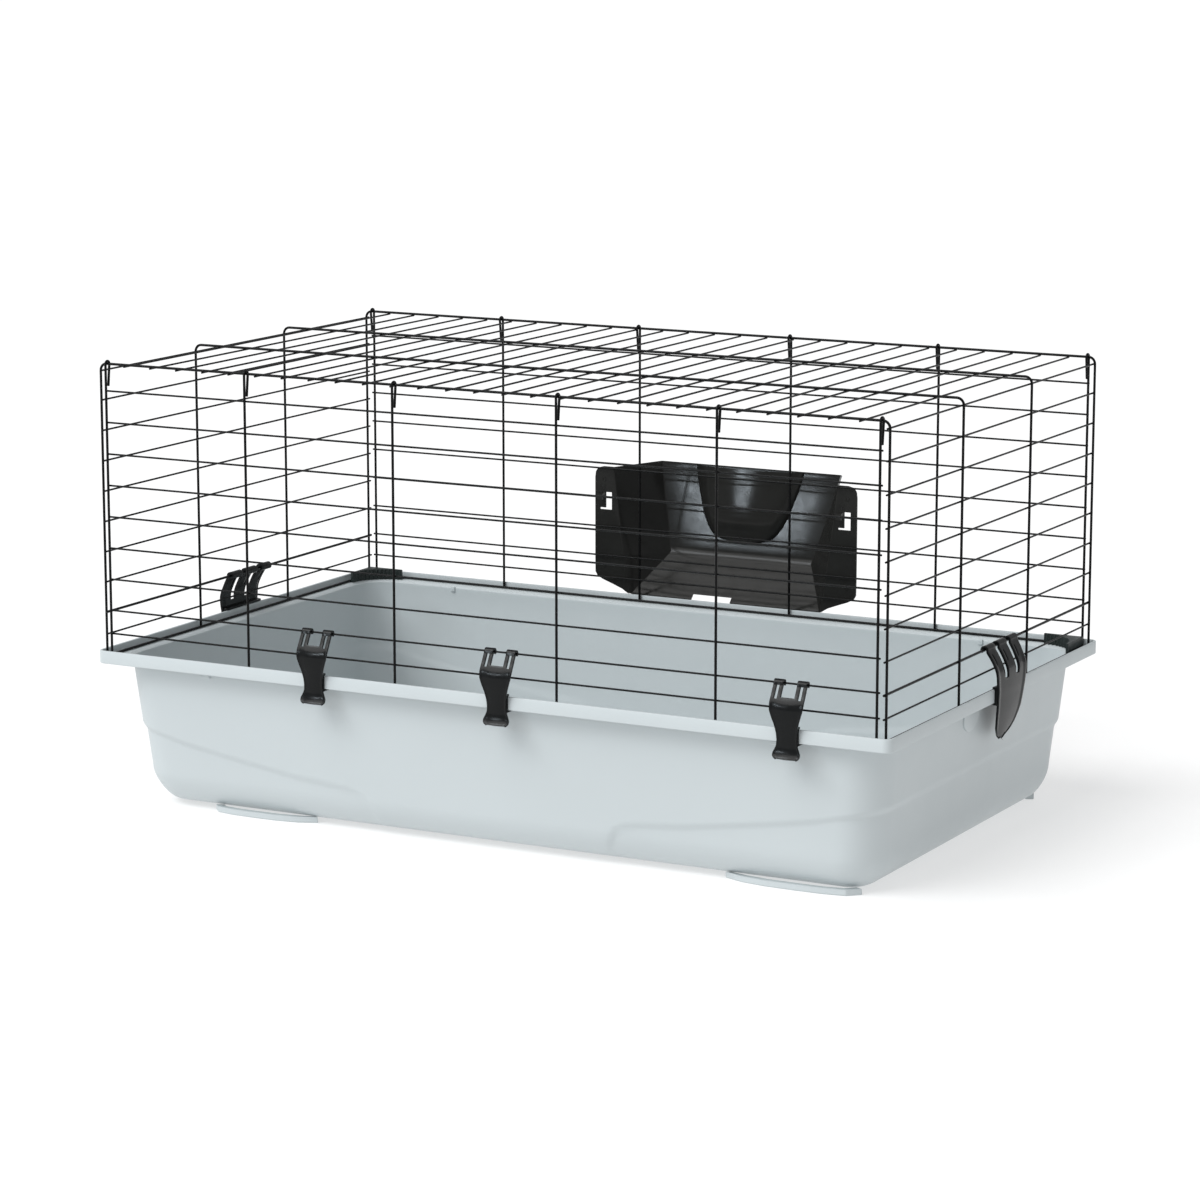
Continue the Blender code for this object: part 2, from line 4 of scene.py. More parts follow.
import bmesh
import bpy
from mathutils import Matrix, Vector


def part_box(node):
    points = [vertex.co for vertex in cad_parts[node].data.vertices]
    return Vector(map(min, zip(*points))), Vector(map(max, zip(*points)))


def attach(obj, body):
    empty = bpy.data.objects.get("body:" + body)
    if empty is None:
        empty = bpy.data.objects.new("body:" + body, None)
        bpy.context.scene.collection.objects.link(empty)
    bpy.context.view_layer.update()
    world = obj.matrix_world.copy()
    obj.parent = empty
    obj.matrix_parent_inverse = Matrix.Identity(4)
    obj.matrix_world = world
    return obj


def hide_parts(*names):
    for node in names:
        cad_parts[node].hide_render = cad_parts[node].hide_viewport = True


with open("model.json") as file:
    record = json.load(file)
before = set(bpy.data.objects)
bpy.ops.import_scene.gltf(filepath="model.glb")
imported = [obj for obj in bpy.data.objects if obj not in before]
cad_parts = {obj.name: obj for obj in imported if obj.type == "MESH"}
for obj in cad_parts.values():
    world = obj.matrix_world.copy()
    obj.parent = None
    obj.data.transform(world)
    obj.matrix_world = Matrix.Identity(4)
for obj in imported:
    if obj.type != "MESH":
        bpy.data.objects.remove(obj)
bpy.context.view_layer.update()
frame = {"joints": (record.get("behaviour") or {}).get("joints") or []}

# ---- places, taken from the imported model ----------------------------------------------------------
TRAY_LOW, TRAY_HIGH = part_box("tray")
HALF_L = (TRAY_HIGH.x - TRAY_LOW.x) / 2
HALF_D = (TRAY_HIGH.y - TRAY_LOW.y) / 2
MID_Y = (TRAY_HIGH.y + TRAY_LOW.y) / 2
RIM = TRAY_HIGH.z
JOINT = {j["name"]: j for j in frame["joints"]}
HOOD_Y = JOINT["back_panel_swing"]["pos_m"][1] - MID_Y
TOP = JOINT["back_panel_swing"]["pos_m"][2] - RIM
ROW_CLIP = JOINT["front_clip_left_swing"]["pos_m"]
END_CLIP = JOINT["right_end_clip_swing"]["pos_m"]

# radii of the frame wires and of the row wires
THICK = 0.0015
THIN = 0.00110


# ---- materials ------------------------------------------------------------------------------------
# a noise texture's values lie mostly between these two
NOISE_LOW, NOISE_HIGH = 0.3, 0.7
SKIN_RELIEF = 0.0004


def shader(name, colour, rough, spread, grain, bump, mottle, rough_spread=0.06, shine=0.5):
    """A moulded or coated surface: colour drift, uneven gloss and a fine skin texture.

    spread and rough_spread are the drift of colour and of roughness, mottle is the size of both
    patterns, and grain and bump are the scale and strength of the skin texture.
    """
    made = bpy.data.materials.new(name)
    made.use_nodes = True
    tree = made.node_tree
    base = tree.nodes["Principled BSDF"]
    base.inputs["Specular IOR Level"].default_value = shine
    where = tree.nodes.new("ShaderNodeTexCoord")

    def noise(scale, detail, roughness=0.5):
        made_noise = tree.nodes.new("ShaderNodeTexNoise")
        made_noise.inputs["Scale"].default_value = scale
        made_noise.inputs["Detail"].default_value = detail
        made_noise.inputs["Roughness"].default_value = roughness
        tree.links.new(where.outputs["Object"], made_noise.inputs["Vector"])
        return made_noise.outputs["Fac"]

    ramp = tree.nodes.new("ShaderNodeValToRGB")
    ramp.color_ramp.elements[0].position = NOISE_LOW
    ramp.color_ramp.elements[1].position = NOISE_HIGH
    ramp.color_ramp.elements[0].color = (*[c * (1 - spread) for c in colour], 1)
    ramp.color_ramp.elements[1].color = (*[min(1, c * (1 + spread)) for c in colour], 1)
    tree.links.new(noise(mottle, 4.0), ramp.inputs["Fac"])
    tree.links.new(ramp.outputs["Color"], base.inputs["Base Color"])

    gloss = tree.nodes.new("ShaderNodeMapRange")
    gloss.inputs["From Min"].default_value = NOISE_LOW
    gloss.inputs["From Max"].default_value = NOISE_HIGH
    gloss.inputs["To Min"].default_value = rough - rough_spread
    gloss.inputs["To Max"].default_value = rough + rough_spread
    tree.links.new(noise(mottle * 4, 6.0, 0.6), gloss.inputs["Value"])
    tree.links.new(gloss.outputs["Result"], base.inputs["Roughness"])

    skin = tree.nodes.new("ShaderNodeBump")
    skin.inputs["Strength"].default_value = bump
    skin.inputs["Distance"].default_value = SKIN_RELIEF
    tree.links.new(noise(grain, 3.0), skin.inputs["Height"])
    tree.links.new(skin.outputs["Normal"], base.inputs["Normal"])
    return made


TRAY_SKIN = shader("tray_plastic", (0.500, 0.543, 0.556), 0.42, spread=0.012, grain=1100.0, bump=0.10,
                   mottle=5.0)
WIRE_SKIN = shader("wire_coating", (0.0028, 0.0029, 0.0031), 0.30, spread=0.25, grain=1500.0, bump=0.12,
                   mottle=60.0, shine=0.12)
CLIP_SKIN = shader("clip_plastic", (0.0052, 0.0058, 0.0061), 0.19, spread=0.12, grain=900.0, bump=0.03,
                   mottle=40.0, shine=0.15)
RACK_SKIN = shader("rack_plastic", (0.0165, 0.0165, 0.0155), 0.13, spread=0.12, grain=700.0, bump=0.03,
                   rough_spread=0.03, shine=0.115, mottle=18.0)
CORNER_SKIN = shader("corner_plastic", (0.008, 0.014, 0.0125), 0.38, spread=0.15, grain=1200.0, bump=0.08,
                     mottle=40.0)


# ---- helpers --------------------------------------------------------------------------------------
def new_object(name, form):
    """Turns a form into an object of the scene."""
    mesh = bpy.data.meshes.new(name)
    form.to_mesh(mesh)
    form.free()
    made = bpy.data.objects.new(name, mesh)
    bpy.context.scene.collection.objects.link(made)
    return made


def form_of(piece):
    """A form that starts as a piece's mesh, for adding to it."""
    form = bmesh.new()
    form.from_mesh(piece.data)
    return form


def put_back(form, piece):
    """Makes a form the piece's mesh."""
    form.to_mesh(piece.data)
    form.free()


def finish_form(name, form, skin, body, nodes, angle):
    """Makes the piece, smooths it, ties it to its body and hides the CAD nodes that it stands for.

    A form's own origin is the middle of the tray's rim, on its top.
    """
    bmesh.ops.recalc_face_normals(form, faces=form.faces)
    piece = new_object(name, form)
    piece.data.materials.append(skin)
    piece.location = (0.0, MID_Y, RIM)
    settle(piece, angle)
    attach(piece, body)
    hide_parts(*nodes)


def settle(piece, angle):
    """Smooth shading, with edges above an angle kept crisp."""
    piece.data.shade_smooth()
    piece.data.set_sharp_from_angle(angle=math.radians(angle))


def applied(piece):
    """Replaces a piece's mesh by the result of its modifiers."""
    bpy.context.view_layer.update()
    graph = bpy.context.evaluated_depsgraph_get()
    mesh = bpy.data.meshes.new_from_object(piece.evaluated_get(graph))
    piece.modifiers.clear()
    piece.data = mesh


def loft(form, rings, closed=True):
    """Quads between successive rings of points."""
    made = [[form.verts.new(p) for p in ring] for ring in rings]
    for low, high in zip(made, made[1:]):
        count = len(low)
        for i in range(count if closed else count - 1):
            j = (i + 1) % count
            form.faces.new((low[i], low[j], high[j], high[i]))
    return made


DOME_RISE = 0.30
DOME_WIDTH = 0.55


def tube(form, path, radius, sides=12):
    """A round wire along a path, with slightly domed cut ends."""
    points = [Vector(p) for p in path]
    turn = [2 * math.pi * k / sides for k in range(sides)]
    side = (points[1] - points[0]).normalized().orthogonal().normalized()
    rings = []

    def ring(centre, share):
        rings.append([centre + (side * math.cos(a) + up * math.sin(a)) * radius * share for a in turn])

    for i, point in enumerate(points):
        before = points[max(i - 1, 0)]
        after = points[min(i + 1, len(points) - 1)]
        along = (after - before).normalized()
        side = (side - along * side.dot(along)).normalized()
        up = along.cross(side)
        if i == 0:
            ring(point, DOME_WIDTH)
            point = point + along * radius * DOME_RISE
        last = i == len(points) - 1
        if last:
            point = point - along * radius * DOME_RISE
        ring(point, 1.0)
        if last:
            point = point + along * radius * DOME_RISE
            ring(point, DOME_WIDTH)
    made = loft(form, rings)
    form.faces.new(made[0])
    form.faces.new(made[-1])


def weld(form, place, size):
    """The small flattened bead where two wires are spot-welded."""
    found = bmesh.ops.create_icosphere(form, subdivisions=1, radius=1.0)["verts"]
    bmesh.ops.scale(form, vec=size, verts=found)
    bmesh.ops.translate(form, vec=place, verts=found)


def arc(cx, cy, radius, start, end, steps):
    """Points of an arc in a plane, with angles in degrees."""
    turn = [math.radians(start + (end - start) * i / steps) for i in range(steps + 1)]
    return [(cx + radius * math.cos(a), cy + radius * math.sin(a)) for a in turn]


def mix(table, x):
    """Piecewise linear reading of a list of (x, value) in rising x."""
    if x <= table[0][0]:
        return table[0][1]
    for (x0, v0), (x1, v1) in zip(table, table[1:]):
        if x <= x1:
            return v0 + (v1 - v0) * (x - x0) / (x1 - x0)
    return table[-1][1]


def ease(t):
    """Smoothstep."""
    t = max(0.0, min(1.0, t))
    return t * t * (3 - 2 * t)


def curve_through(points, steps):
    """A smooth open curve through points in a plane."""
    out = []
    for i in range(len(points) - 1):
        p0, p1 = points[max(i - 1, 0)], points[i]
        p2, p3 = points[i + 1], points[min(i + 2, len(points) - 1)]
        for k in range(steps):
            t = k / steps
            out.append(tuple(0.5 * (2 * b + (c - a) * t + (2 * a - 5 * b + 4 * c - d) * t * t
                                    + (3 * b - a - 3 * c + d) * t ** 3)
                             for a, b, c, d in zip(p0, p1, p2, p3)))
    out.append(points[-1])
    return out


# ---- tray -----------------------------------------------------------------------------------------
SKIN = 0.0030
FLOOR = -0.1820
# insets are measured from the rim's edge: the outer wall's at WALL_TOP, and its growth per metre down
WALL_INSET, WALL_TOP, WALL_SLOPE = 0.0180, -0.0200, 0.0932
# below WALL_LOW the wall curves in to the floor, from the inset CURVE_INSET and by CURVE_IN
WALL_LOW = -0.1380
CURVE_INSET, CURVE_IN = 0.0290, 0.0400
# the moulded step: its depth, the height it takes, its share on the inner wall, and the mesh rows
# about it
STEP_DEPTH = 0.0028
STEP_RUN = 0.0092
INNER_STEP = 0.35
STEP_ABOVE, STEP_BELOW = 0.0060, 0.0058
STEP_ROWS = (0.0046, 0.0023, 0.0, -0.0023, -0.0046, -STEP_BELOW)
STEP_LOWEST = WALL_LOW + 0.008
# the height of the step along a long side, as (distance from the middle, height)
STEP_LINE = [(0.146, -0.1680), (0.151, -0.1600), (0.156, -0.1500), (0.162, -0.1420), (0.172, -0.1370),
             (0.190, -0.1345), (0.230, -0.1310), (0.268, -0.1260), (0.330, -0.1168), (0.391, -0.1070),
             (0.437, -0.0982), (0.476, -0.0915), (0.482, -0.0905)]
STEP_START, STEP_FADE = 0.1465, 0.004
# the part of that distance that a corner's arc takes up
CORNER_START, CORNER_REACH = 0.437, 0.045
# where the tray's mesh is cut across, from the middle of a side and of an end
COLUMNS = [0.0, 0.05, 0.10, 0.135, 0.143, 0.146, 0.149, 0.152, 0.155, 0.158, 0.162, 0.167, 0.175, 0.190,
           0.215, 0.245, 0.280, 0.320, 0.360, 0.400]
END_COLUMNS = [0.0, 0.07, 0.14, 0.20]
ARC_STEPS = 9


def step_line(x, on_end):
    """Height of the moulded step, and how much of it there is."""
    if on_end:
        return STEP_LINE[-1][1], 1.0
    return mix(STEP_LINE, abs(x)), ease((abs(x) - STEP_START) / STEP_FADE)


def wall_inset(z, line, share):
    """How far the outer wall stands in from the rim's edge, at a height."""
    if z >= WALL_LOW:
        inset = WALL_INSET + (WALL_TOP - z) * WALL_SLOPE
        down = 0.0
    else:
        drop = min(1.0, (WALL_LOW - z) / (WALL_LOW - FLOOR))
        inset = CURVE_INSET + CURVE_IN * (1 - math.sqrt(max(0.0, 1 - drop * drop)))
        down = drop
    return inset + STEP_DEPTH * share * ease((line - z + STEP_RUN / 2) / STEP_RUN) * (1 - down ** 3)


def ring_of(level):
    """One level of the tray. level gives (inset, z, corner radius) at a place along the edge."""
    points = []
    for corner, (sx, sy) in enumerate(((1, 1), (-1, 1), (-1, -1), (1, -1))):
        for k in range(ARC_STEPS + 1):
            angle = math.radians(90 * corner + 90 * k / ARC_STEPS)
            share = abs(math.cos(angle))
            inset, z, radius = level(CORNER_START + CORNER_REACH * share, share > 0.98)
            cx = sx * (HALF_L - inset - radius)
            cy = sy * (HALF_D - inset - radius)
            points.append((cx + radius * math.cos(angle), cy + radius * math.sin(angle), z))
        if corner in (0, 2):
            side = 1 if corner == 0 else -1
            for x in [c * side for c in COLUMNS[::-1]] + [-c * side for c in COLUMNS[1:]]:
                inset, z, radius = level(x, False)
                points.append((x, side * (HALF_D - inset), z))
        else:
            side = -1 if corner == 1 else 1
            for y in [-c * side for c in END_COLUMNS[::-1]] + [c * side for c in END_COLUMNS[1:]]:
                inset, z, radius = level(CORNER_START + CORNER_REACH, True)
                points.append((side * (HALF_L - inset), y, z))
    return points


def fixed(inset, z, radius):
    """A level that is the same all round."""
    return lambda x, on_end: (inset, z, radius)


def corner_radius(inset):
    """The wall's corners tighten where it turns into the floor."""
    return 0.045 - 0.036 * ease((inset - 0.034) / 0.040)


def wall_levels(inner):
    """The levels of the outer or inner wall, from below the rim to the floor."""
    skin = SKIN if inner else 0.0
    top = -0.0150 if inner else -0.0185
    levels = []

    def at(choose):
        def level(x, on_end):
            line, share = step_line(x, on_end)
            if inner:
                share *= INNER_STEP
            z = choose(max(line, STEP_LOWEST))
            inset = wall_inset(z, line, share)
            floor = FLOOR + skin
            lift = 0.0 if z > WALL_LOW else (WALL_LOW - z) / (WALL_LOW - FLOOR)
            height = z if z > WALL_LOW else WALL_LOW - (WALL_LOW - floor) * lift
            run = skin * (1 - lift ** 4 * 0.9)
            return inset + run, height, corner_radius(inset) - skin * 0.7
        return level

    for k in range(6):
        levels.append(at(lambda line, k=k: top + (line + STEP_ABOVE - top) * k / 5))
    for shift in STEP_ROWS:
        levels.append(at(lambda line, shift=shift: line + shift))
    for k in (1, 2, 3):
        levels.append(at(lambda line, k=k: (line - STEP_BELOW) + (WALL_LOW - line + STEP_BELOW) * k / 3))
    for k in range(1, 12):
        turn = math.radians(90 * k / 11)
        levels.append(at(lambda line, turn=turn: WALL_LOW - (WALL_LOW - FLOOR) * math.sin(turn)))
    return levels


def once_each(found):
    """A list without repeats, in the order of first meeting, so that each run is the same."""
    return list(dict.fromkeys(found))


def rounded_block(form, low, high, bevel):
    """A small moulded block with rounded edges."""
    found = bmesh.ops.create_cube(form, size=1.0)["verts"]
    bmesh.ops.scale(form, vec=[b - a for a, b in zip(low, high)], verts=found)
    bmesh.ops.translate(form, vec=[(a + b) / 2 for a, b in zip(low, high)], verts=found)
    edges = once_each(e for v in found for e in v.link_edges)
    bmesh.ops.bevel(form, geom=edges, offset=bevel, segments=3, affect="EDGES", profile=0.5)


# the rim from the outer wall, under its skirt, over the lip and down to the inner wall, as
# (inset, z, corner radius)
RIM_PROFILE = [(0.0175, -0.0150, 0.0450), (0.0165, -0.0124, 0.0450), (0.0145, -0.0110, 0.0440),
               (0.0040, -0.0108, 0.0080), (0.0032, -0.0114, 0.0070), (0.0030, -0.0145, 0.0070),
               (0.0025, -0.0150, 0.0075), (0.0006, -0.0150, 0.0095), (0.0000, -0.0144, 0.0100),
               (0.0000, -0.0009, 0.0100), (0.0003, -0.0003, 0.0097), (0.0009, 0.0000, 0.0090),
               (0.0024, 0.0000, 0.0075), (0.0030, -0.0003, 0.0070), (0.0032, -0.0009, 0.0070),
               (0.0032, -0.0072, 0.0070), (0.0038, -0.0078, 0.0065), (0.0138, -0.0078, 0.0440),
               (0.0158, -0.0083, 0.0440), (0.0193, -0.0099, 0.0430), (0.0204, -0.0108, 0.0425),
               (0.0207, -0.0125, 0.0420)]
# the flat floor's outer rings, as (inset, corner radius)
FLOOR_RINGS = [(0.078, 0.010), (0.084, 0.012)]
NUB_X = 0.360


def make_tray():
    """The tray from the outer floor by the outer wall, rim and inner wall to the inner floor.

    The feet, the nubs under the rim and on the ledge, and the pads on the end walls are added to it.
    """
    form = bmesh.new()
    levels = [fixed(inset, FLOOR, radius) for inset, radius in FLOOR_RINGS[::-1]]
    levels += wall_levels(False)[::-1]
    levels += [fixed(*place) for place in RIM_PROFILE]
    levels += wall_levels(True)
    levels += [fixed(inset, FLOOR + SKIN, radius) for inset, radius in FLOOR_RINGS]
    made = loft(form, [ring_of(level) for level in levels])
    form.faces.new(made[0])
    form.faces.new(made[-1])
    for sx in (-1, 1):
        for sy in (-1, 1):
            foot(form, sx, sy)
    for x in (-NUB_X, NUB_X):
        for sy in (-1, 1):
            y = sy * (HALF_D - 0.0165)
            rounded_block(form, (x - 0.005, y - 0.0022, -0.0228), (x + 0.005, y + 0.0022, -0.0140), 0.0014)
    for x in (-NUB_X, NUB_X):
        y = HALF_D - 0.0207
        rounded_block(form, (x - 0.003, y - 0.0018, -0.0155), (x + 0.003, y + 0.0018, -0.0090), 0.0010)
    for side in (-1, 1):
        for y in (-0.040, 0.078):
            wall_tab(form, side, y)
    finish_form("tray_moulding", form, TRAY_SKIN, "tray", ["tray", "tray_floor"], angle=28)


TAB_HALF, TAB_TOP, TAB_LOW, TAB_ROUND = 0.0205, -0.0130, -0.0440, 0.0165


def wall_tab(form, side, y):
    """A shallow tongue-shaped pad that hangs from the skirt against an end wall."""
    rings = []
    line, share = step_line(0.0, True)
    for rise, shrink in ((-0.0010, 0.0), (0.0013, 0.0), (0.0018, 0.0004), (0.0020, 0.0012)):
        outline = [(-TAB_HALF + shrink, TAB_TOP)]
        for k in range(13):
            angle = math.radians(180 + 180 * k / 12)
            outline.append(((TAB_HALF - shrink) * math.cos(angle),
                            TAB_LOW + TAB_ROUND + TAB_ROUND * math.sin(angle) + shrink))
        outline.append((TAB_HALF - shrink, TAB_TOP))
        rings.append([(side * (HALF_L - wall_inset(z, line, share) + rise), y + a, z) for a, z in outline])
    made = loft(form, rings)
    form.faces.new(made[-1])
    form.faces.new(made[0])


# the outer and inner edges of a right and of a left foot, as (x, y) from the tray's middle
RIGHT_FOOT = ([(0.285, 0.2480), (0.308, 0.2575), (0.338, 0.2618), (0.372, 0.2625), (0.406, 0.2618),
               (0.432, 0.2575), (0.445, 0.2450)],
              [(0.290, 0.2440), (0.311, 0.2495), (0.338, 0.2530), (0.371, 0.2535), (0.404, 0.2530),
               (0.426, 0.2495), (0.437, 0.2400)])
LEFT_FOOT = ([(0.235, 0.2480), (0.256, 0.2575), (0.283, 0.2618), (0.312, 0.2625), (0.342, 0.2618),
              (0.364, 0.2580), (0.372, 0.2500)],
             [(0.240, 0.2440), (0.259, 0.2495), (0.283, 0.2530), (0.312, 0.2535), (0.340, 0.2530),
              (0.358, 0.2505), (0.364, 0.2450)])
FOOT_DROP, FOOT_OUTER_TOP, FOOT_INNER_TOP, FOOT_BEVEL = 0.0040, 0.0070, 0.0065, 0.0012


def foot(form, sx, sy):
    """A low curved foot under the floor's rounded edge. It stops short of the tray's skin."""
    outer, inner = LEFT_FOOT if sx < 0 else RIGHT_FOOT
    bottom = FLOOR - FOOT_DROP
    rings = []
    for line, push, z in ((inner, 0.0, FOOT_INNER_TOP), (outer, 0.0, FOOT_OUTER_TOP),
                          (outer, 0.0, FOOT_BEVEL), (outer, FOOT_BEVEL, 0.0),
                          (inner, 0.0, 0.0), (inner, 0.0, FOOT_INNER_TOP)):
        rings.append([(sx * x, sy * (y - push), bottom + z) for x, y in line])
    made = loft(form, rings, closed=False)
    for end in (0, -1):
        form.faces.new([ring[end] for ring in made[:-1]])


# ---- wires ----------------------------------------------------------------------------------------
# the row wires of the ends and of the panels by height, and the panels' uprights by x
PITCH = 0.0352
ROWS_END = [0.2912 - PITCH * i for i in range(8)] + [0.0190]
ROWS_PANEL = [0.3020 - 0.0364 * i for i in range(8)] + [0.0200]
VERTICALS = (-0.4819, -0.2945, -0.1022, 0.1022, 0.2945, 0.4819)
# how far below a frame wire's middle a row wire's middle lies
SINK = 0.00215
LOW_WIRE = -0.0060
# the end row that carries the end clip is as thick as the frame
THICK_ROW = 7
# how far a wire runs past the last wire it crosses, and how far two frame wires press together
OVERRUN = 0.0008
PRESSED = 0.0003
# an upright's hook: how far it stands out from the edge wire and reaches back, and how low it ends
HOOK_OUT, HOOK_BACK, HOOK_END = 0.0036, 0.0040, 0.0258


def make_hood():
    """The welded wire top, bent down at both ends."""
    form = bmesh.new()
    hx, bend = 0.4910, 0.0080
    left = arc(-hx + bend, TOP - bend, bend, 180, 90, 8)
    right = arc(hx - bend, TOP - bend, bend, 90, 0, 8)
    path = [(-hx, LOW_WIRE - OVERRUN)] + left + right + [(hx, LOW_WIRE - OVERRUN)]
    lines = (-HOOD_Y, -0.0970, 0.0970, HOOD_Y)
    for y in lines:
        tube(form, [(x, y, z) for x, z in path], THICK)
    tip = HOOD_Y + 0.0025
    for k in range(-13, 14):
        x = k * PITCH
        tube(form, [(x, -tip, TOP - SINK), (x, tip, TOP - SINK)], THIN, 10)
        for y in lines:
            weld(form, (x, y, TOP - SINK / 2 - 0.0003), (0.0013, 0.0019, 0.0011))
    for side in (-1, 1):
        x = hx - SINK
        for z in [TOP - bend] + ROWS_END:
            radius = THICK if z == ROWS_END[THICK_ROW] else THIN
            tube(form, [(side * x, -tip, z), (side * x, tip, z)], radius)
            for y in lines:
                weld(form, (side * (x + 0.0008), y, z), (0.0011, 0.0019, 0.0013))
        low = side * (hx - 2 * THICK + PRESSED)
        tube(form, [(low, -tip + 0.0010, LOW_WIRE), (low, tip - 0.0010, LOW_WIRE)], THICK)
    finish_form("hood_wires", form, WIRE_SKIN, "hood", ["hood_top_panel", "hood_left_end", "hood_right_end"],
                angle=50)


def make_panel(side, name):
    """A wire panel whose uprights are hooked over the top's edge wire."""
    form = bmesh.new()
    reach = (HOOK_OUT + HOOK_BACK) / 2
    hook = arc(HOOK_OUT - reach, TOP - 0.0007, reach, 0, 180, 12)
    for x in VERTICALS:
        run = [(x, side * (HOOD_Y + HOOK_OUT), LOW_WIRE - OVERRUN)]
        run += [(x, side * (HOOD_Y + o), z) for o, z in hook]
        run.append((x, side * (HOOD_Y - 0.0012), TOP - HOOK_END))
        tube(form, run, THICK)
    tip = 0.4844
    row_y = HOOD_Y + HOOK_OUT - SINK
    for z in ROWS_PANEL:
        tube(form, [(-tip, side * row_y, z), (tip, side * row_y, z)], THIN, 10)
        for x in VERTICALS:
            weld(form, (x, side * (row_y + 0.0009), z), (0.0019, 0.0011, 0.0013))
    low_y = HOOD_Y + HOOK_OUT - 2 * THICK + PRESSED
    tube(form, [(-tip + OVERRUN, side * low_y, LOW_WIRE), (tip - OVERRUN, side * low_y, LOW_WIRE)], THICK)
    finish_form(name + "_wires", form, WIRE_SKIN, name, [name], angle=50)


# ---- ribbed corner pieces -------------------------------------------------------------------------
def make_corner(name, sx, sy):
    """A corner piece on the ledge, ribbed along its rounded inner edge."""
    form = bmesh.new()
    edge, radius = 0.0137, 0.0440
    cx, cy = HALF_L - 0.0175 - radius, HALF_D - 0.0175 - radius
    ribs = 13
    steps = ribs * 6

    def outline(shrink):
        far_x, far_y = HALF_L - edge - shrink, HALF_D - edge - shrink
        points = [(far_x, cy + shrink), (far_x, far_y), (cx + shrink, far_y)]
        for i in range(steps + 1):
            angle = math.radians(90 - 90 * i / steps)
            wave = 0.5 - 0.5 * math.cos(2 * math.pi * ribs * i / steps)
            reach = radius + 0.0006 + 0.0016 * wave ** 0.6 + shrink
            points.append((cx + reach * math.cos(angle), cy + reach * math.sin(angle)))
        return points

    rings = []
    for z, shrink in ((-0.0075, 0.0), (0.0043, 0.0), (0.0048, 0.00015), (0.0050, 0.0005)):
        rings.append([(sx * x, sy * y, z) for x, y in outline(shrink)])
    made = loft(form, rings)
    form.faces.new(made[0])
    form.faces.new(made[-1])
    finish_form(name + "_moulding", form, CORNER_SKIN, "tray", [name], angle=40)


# ---- clips ----------------------------------------------------------------------------------------
CLIP_WALL = 0.0025
# the crown and the raised border fade out above the body of the clip
CROWN_END, CROWN_FADE = 0.034, 0.012
BORDER_START, BORDER_FADE = 0.86, 0.06


def is_hole(across, height, hooked, holes):
    """Whether a place on a clip's sheet is left out. A hole without a top runs on through the hook."""
    for left, right, low, top in holes:
        if left < across < right:
            if top is None and (hooked or height > low):
                return True
            if top is not None and not hooked and low < height < top:
                return True
    return False


def clip_sheet(name, row, spine, columns, widths, holes, crown, border, curl):
    """A sheet along a spine (outward, height), with fingers and slots left out, hooked over its wire."""
    form = bmesh.new()
    hook = [(curl * math.cos(math.radians(a)), row + curl * math.sin(math.radians(a)))
            for a in (235, 215, 195, 172, 145, 118, 90, 62, 34, 10)]
    path = hook + curve_through(spine, 3)
    grid = []
    for i, (out, z) in enumerate(path):
        width = mix(widths, z if i >= len(hook) else row)
        fade = ease((CROWN_END - z) / CROWN_FADE)
        line = []
        for c in columns:
            lift = -crown * c * c * fade + border * ease((abs(c) - BORDER_START) / BORDER_FADE) * fade
            line.append(form.verts.new((c * width, -(out + lift), z - row)))
        grid.append(line)
    for i in range(len(path) - 1):
        height = (path[i][1] + path[i + 1][1]) / 2
        for k in range(len(columns) - 1):
            across = (columns[k] + columns[k + 1]) / 2
            if not is_hole(across, height, i < len(hook), holes):
                form.faces.new((grid[i][k], grid[i][k + 1], grid[i + 1][k + 1], grid[i + 1][k]))
    loose = [v for v in form.verts if not v.link_faces]
    bmesh.ops.delete(form, geom=loose, context="VERTS")
    bmesh.ops.recalc_face_normals(form, faces=form.faces)
    sheet = new_object(name, form)
    thick = sheet.modifiers.new("thick", "SOLIDIFY")
    thick.thickness = CLIP_WALL
    thick.offset = 0.0
    thick.use_even_offset = True
    soft = sheet.modifiers.new("soft", "BEVEL")
    soft.width = 0.0006
    soft.segments = 3
    soft.limit_method = "ANGLE"
    soft.angle_limit = math.radians(50)
    applied(sheet)
    return sheet


RIB_RADIUS, RIB_LIFT, RIB_LIMIT, RIB_LOW = 0.0008, 0.0007, 0.0160, 0.0120
RIB_PLACES = (-0.0415, -0.0222, -0.0098, 0.0098, 0.0222, 0.0395)


def add_ribs(sheet, row):
    """Raised ribs along both edges of each finger of an end clip. They spread as the clip does."""
    form = form_of(sheet)
    run = [(out, z) for out, z in curve_through(END_SPINE, 3) if z > RIB_LOW]
    for middle in RIB_PLACES:
        path = [(middle * (0.975 + 0.5 * (z - RIB_LOW)), -min(out + RIB_LIFT, RIB_LIMIT), z - row)
                for out, z in run[::-1]]
        tube(form, path, RIB_RADIUS, 10)
    bmesh.ops.recalc_face_normals(form, faces=form.faces)
    put_back(form, sheet)


